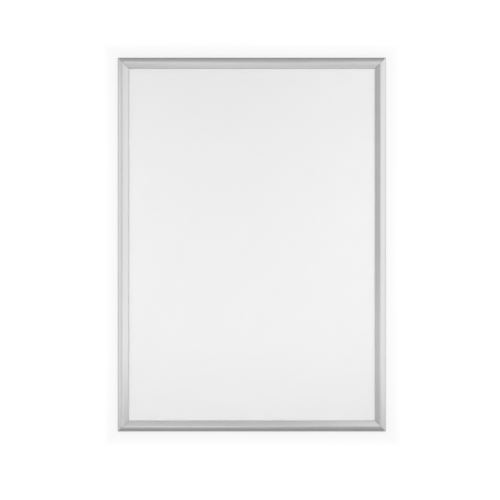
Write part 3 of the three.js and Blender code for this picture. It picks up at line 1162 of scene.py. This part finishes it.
CORNERS = {
    "top_right": {"across": 1, "up": 1, "turn": 0},
    "bottom_right": {"across": 1, "up": -1, "turn": 90},
    "bottom_left": {"across": -1, "up": -1, "turn": 180},
    "top_left": {"across": -1, "up": 1, "turn": -90},
}
SCREW_PLACES = [(-SCREW_FROM_CORNER, SCREW_LINE), (-SCREW_LINE, SCREW_FROM_CORNER)]

# %% Corner brackets
BRACKET_LEG = 55
BRACKET_WIDTHS = (5.0, 12.3)
BRACKET_HEIGHTS = (1.35, 2.85)
BRACKET_ROUND = 1.2
BRACKET_EDGE = 0.12


def bracket_shape():
    near, far = BRACKET_WIDTHS
    low, high = BRACKET_HEIGHTS
    corners = [(BRACKET_LEG, near), (BRACKET_LEG, far), (far, far), (far, BRACKET_LEG)]
    corners.append((near, BRACKET_LEG))
    flat = bmesh.new()
    tip = flat.verts.new((-near * MM, -low * MM, -near * MM))
    loop = [tip]
    for along, inset in corners:
        made = bmesh.ops.extrude_vert_indiv(flat, verts=[tip])
        tip = made["verts"][0]
        tip.co = (-along * MM, -low * MM, -inset * MM)
        loop.append(tip)
    flat.edges.new((loop[-1], loop[0]))
    bmesh.ops.edgeloop_fill(flat, edges=flat.edges[:])
    rounded_off(flat, loop, BRACKET_ROUND, "VERTICES", ROUNDING_STEPS)
    return thickened(flat, (0, (low - high) * MM, 0))


def corner_bracket(corner, across, up, turn):
    drills = [drill for x, inset in SCREW_PLACES for drill in screw_drills(x * MM, inset)]
    shape = broken_edges(carved(bracket_shape(), drills), BRACKET_EDGE)
    name = "bracket_plate_" + corner
    bracket = finished(shape, name, corner_place(across, up, turn), [zinc])
    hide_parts("corner_bracket_" + corner)
    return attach(bracket, "base")


for corner, facts in CORNERS.items():
    corner_bracket(corner, **facts)

# %% [markdown]
# ## Corner screws
# Two countersunk screws a corner go in from behind. The body is a profile spun round its
# axis, with a ridge for each turn of the thread, and the cross in the head is cut with two
# slender blocks.

# %% Corner screws
THREAD_TURNS = 4
THREAD_DEPTH = 0.22
SCREW_TIP_HEIGHT = 3.45
CROSS_LENGTH = 2.6
CROSS_WIDTH = 0.7
CROSS_DEPTH = 0.9
SCREW_RIM = 0.1
SCREW_STEPS = 32
MERGE_DISTANCE = 0.001


def screw_shape():
    """A countersunk screw on the Y axis, with its head towards the wall."""
    shape = bmesh.new()
    neck_height = SCREW_SINK + SCREW_HEAD_RADIUS - SCREW_SHANK_RADIUS
    pitch = (SCREW_TIP_HEIGHT - neck_height) / (THREAD_TURNS + 0.5)
    profile = [(0, SCREW_SINK), (SCREW_HEAD_RADIUS - SCREW_RIM, SCREW_SINK)]
    profile.append((SCREW_HEAD_RADIUS, SCREW_SINK + SCREW_RIM))
    for turn in range(THREAD_TURNS):
        root = neck_height + pitch * turn
        profile.append((SCREW_SHANK_RADIUS - THREAD_DEPTH, root))
        profile.append((SCREW_SHANK_RADIUS, root + pitch / 2))
    profile.append((SCREW_SHANK_RADIUS - THREAD_DEPTH, SCREW_TIP_HEIGHT - pitch / 2))
    profile.append((0, SCREW_TIP_HEIGHT))
    tip = shape.verts.new((profile[0][0] * MM, -profile[0][1] * MM, 0))
    for radius, height in profile[1:]:
        made = bmesh.ops.extrude_vert_indiv(shape, verts=[tip])
        tip = made["verts"][0]
        tip.co = (radius * MM, -height * MM, 0)
    bmesh.ops.spin(
        shape,
        geom=shape.verts[:] + shape.edges[:],
        cent=(0, 0, 0),
        axis=(0, 1, 0),
        angle=math.radians(360),
        steps=SCREW_STEPS,
        use_merge=True,
    )
    bmesh.ops.remove_doubles(shape, verts=shape.verts[:], dist=MERGE_DISTANCE * MM)
    bmesh.ops.recalc_face_normals(shape, faces=shape.faces[:])
    return shape


def cross_cutters():
    half = CROSS_LENGTH / 2
    thin = CROSS_WIDTH / 2
    heights = (SCREW_SINK - OVERCUT, SCREW_SINK + CROSS_DEPTH)
    return [
        block((-half * MM, half * MM), (-thin, thin), heights),
        block((-thin * MM, thin * MM), (-half, half), heights),
    ]


def corner_screw(corner, number, across, up, turn):
    shape = carved(screw_shape(), cross_cutters())
    x, inset = SCREW_PLACES[number - 1]
    shift = Matrix.Translation((x * MM, 0, -inset * MM))
    place = corner_place(across, up, turn) @ shift
    screw = finished(shape, f"screw_{corner}_{number}", place, [zinc])
    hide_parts(f"corner_screw_{corner}_{number}")
    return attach(screw, "base")


for corner, facts in CORNERS.items():
    for number in (1, 2):
        corner_screw(corner, number, **facts)

# %% [markdown]
# ## Board, poster and clear sheet
# All three are flat sheets cut to size. The board and the clear sheet get rounded corners
# and soft edges, as die-cut plastic has. The poster has the right shape already, so its
# construction piece only takes the paper finish.

# %% Flat sheets
BOARD_CORNER = 1.5
BOARD_EDGE = 0.2
FILM_CORNER = 2.0
FILM_EDGE = 0.1
SHEET_CORNER_STEPS = 6


def rounded_sheet(name, node, corner_radius, edge_size, material):
    """A sheet in the box of a construction piece, with rounded corners, in millimetres."""
    low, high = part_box(node)
    size = high - low
    shape = bmesh.new()
    bmesh.ops.create_cube(shape, size=1)
    bmesh.ops.scale(shape, vec=size, verts=shape.verts[:])
    across = [edge for edge in shape.edges if edge.verts[0].co.y != edge.verts[1].co.y]
    rounded_off(shape, across, corner_radius, "EDGES", SHEET_CORNER_STEPS)
    broken_edges(shape, edge_size)
    sheet = finished(shape, name, Matrix.Translation((low + high) / 2), [material])
    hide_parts(node)
    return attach(sheet, "base")


rounded_sheet("polystyrene_board", "back_panel", BOARD_CORNER, BOARD_EDGE, board)
rounded_sheet("anti_glare_sheet", "clear_sheet", FILM_CORNER, FILM_EDGE, film)
poster_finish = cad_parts["poster"].data.materials
poster_finish.clear()
poster_finish.append(paper)
print("sheets: board, poster and clear sheet")
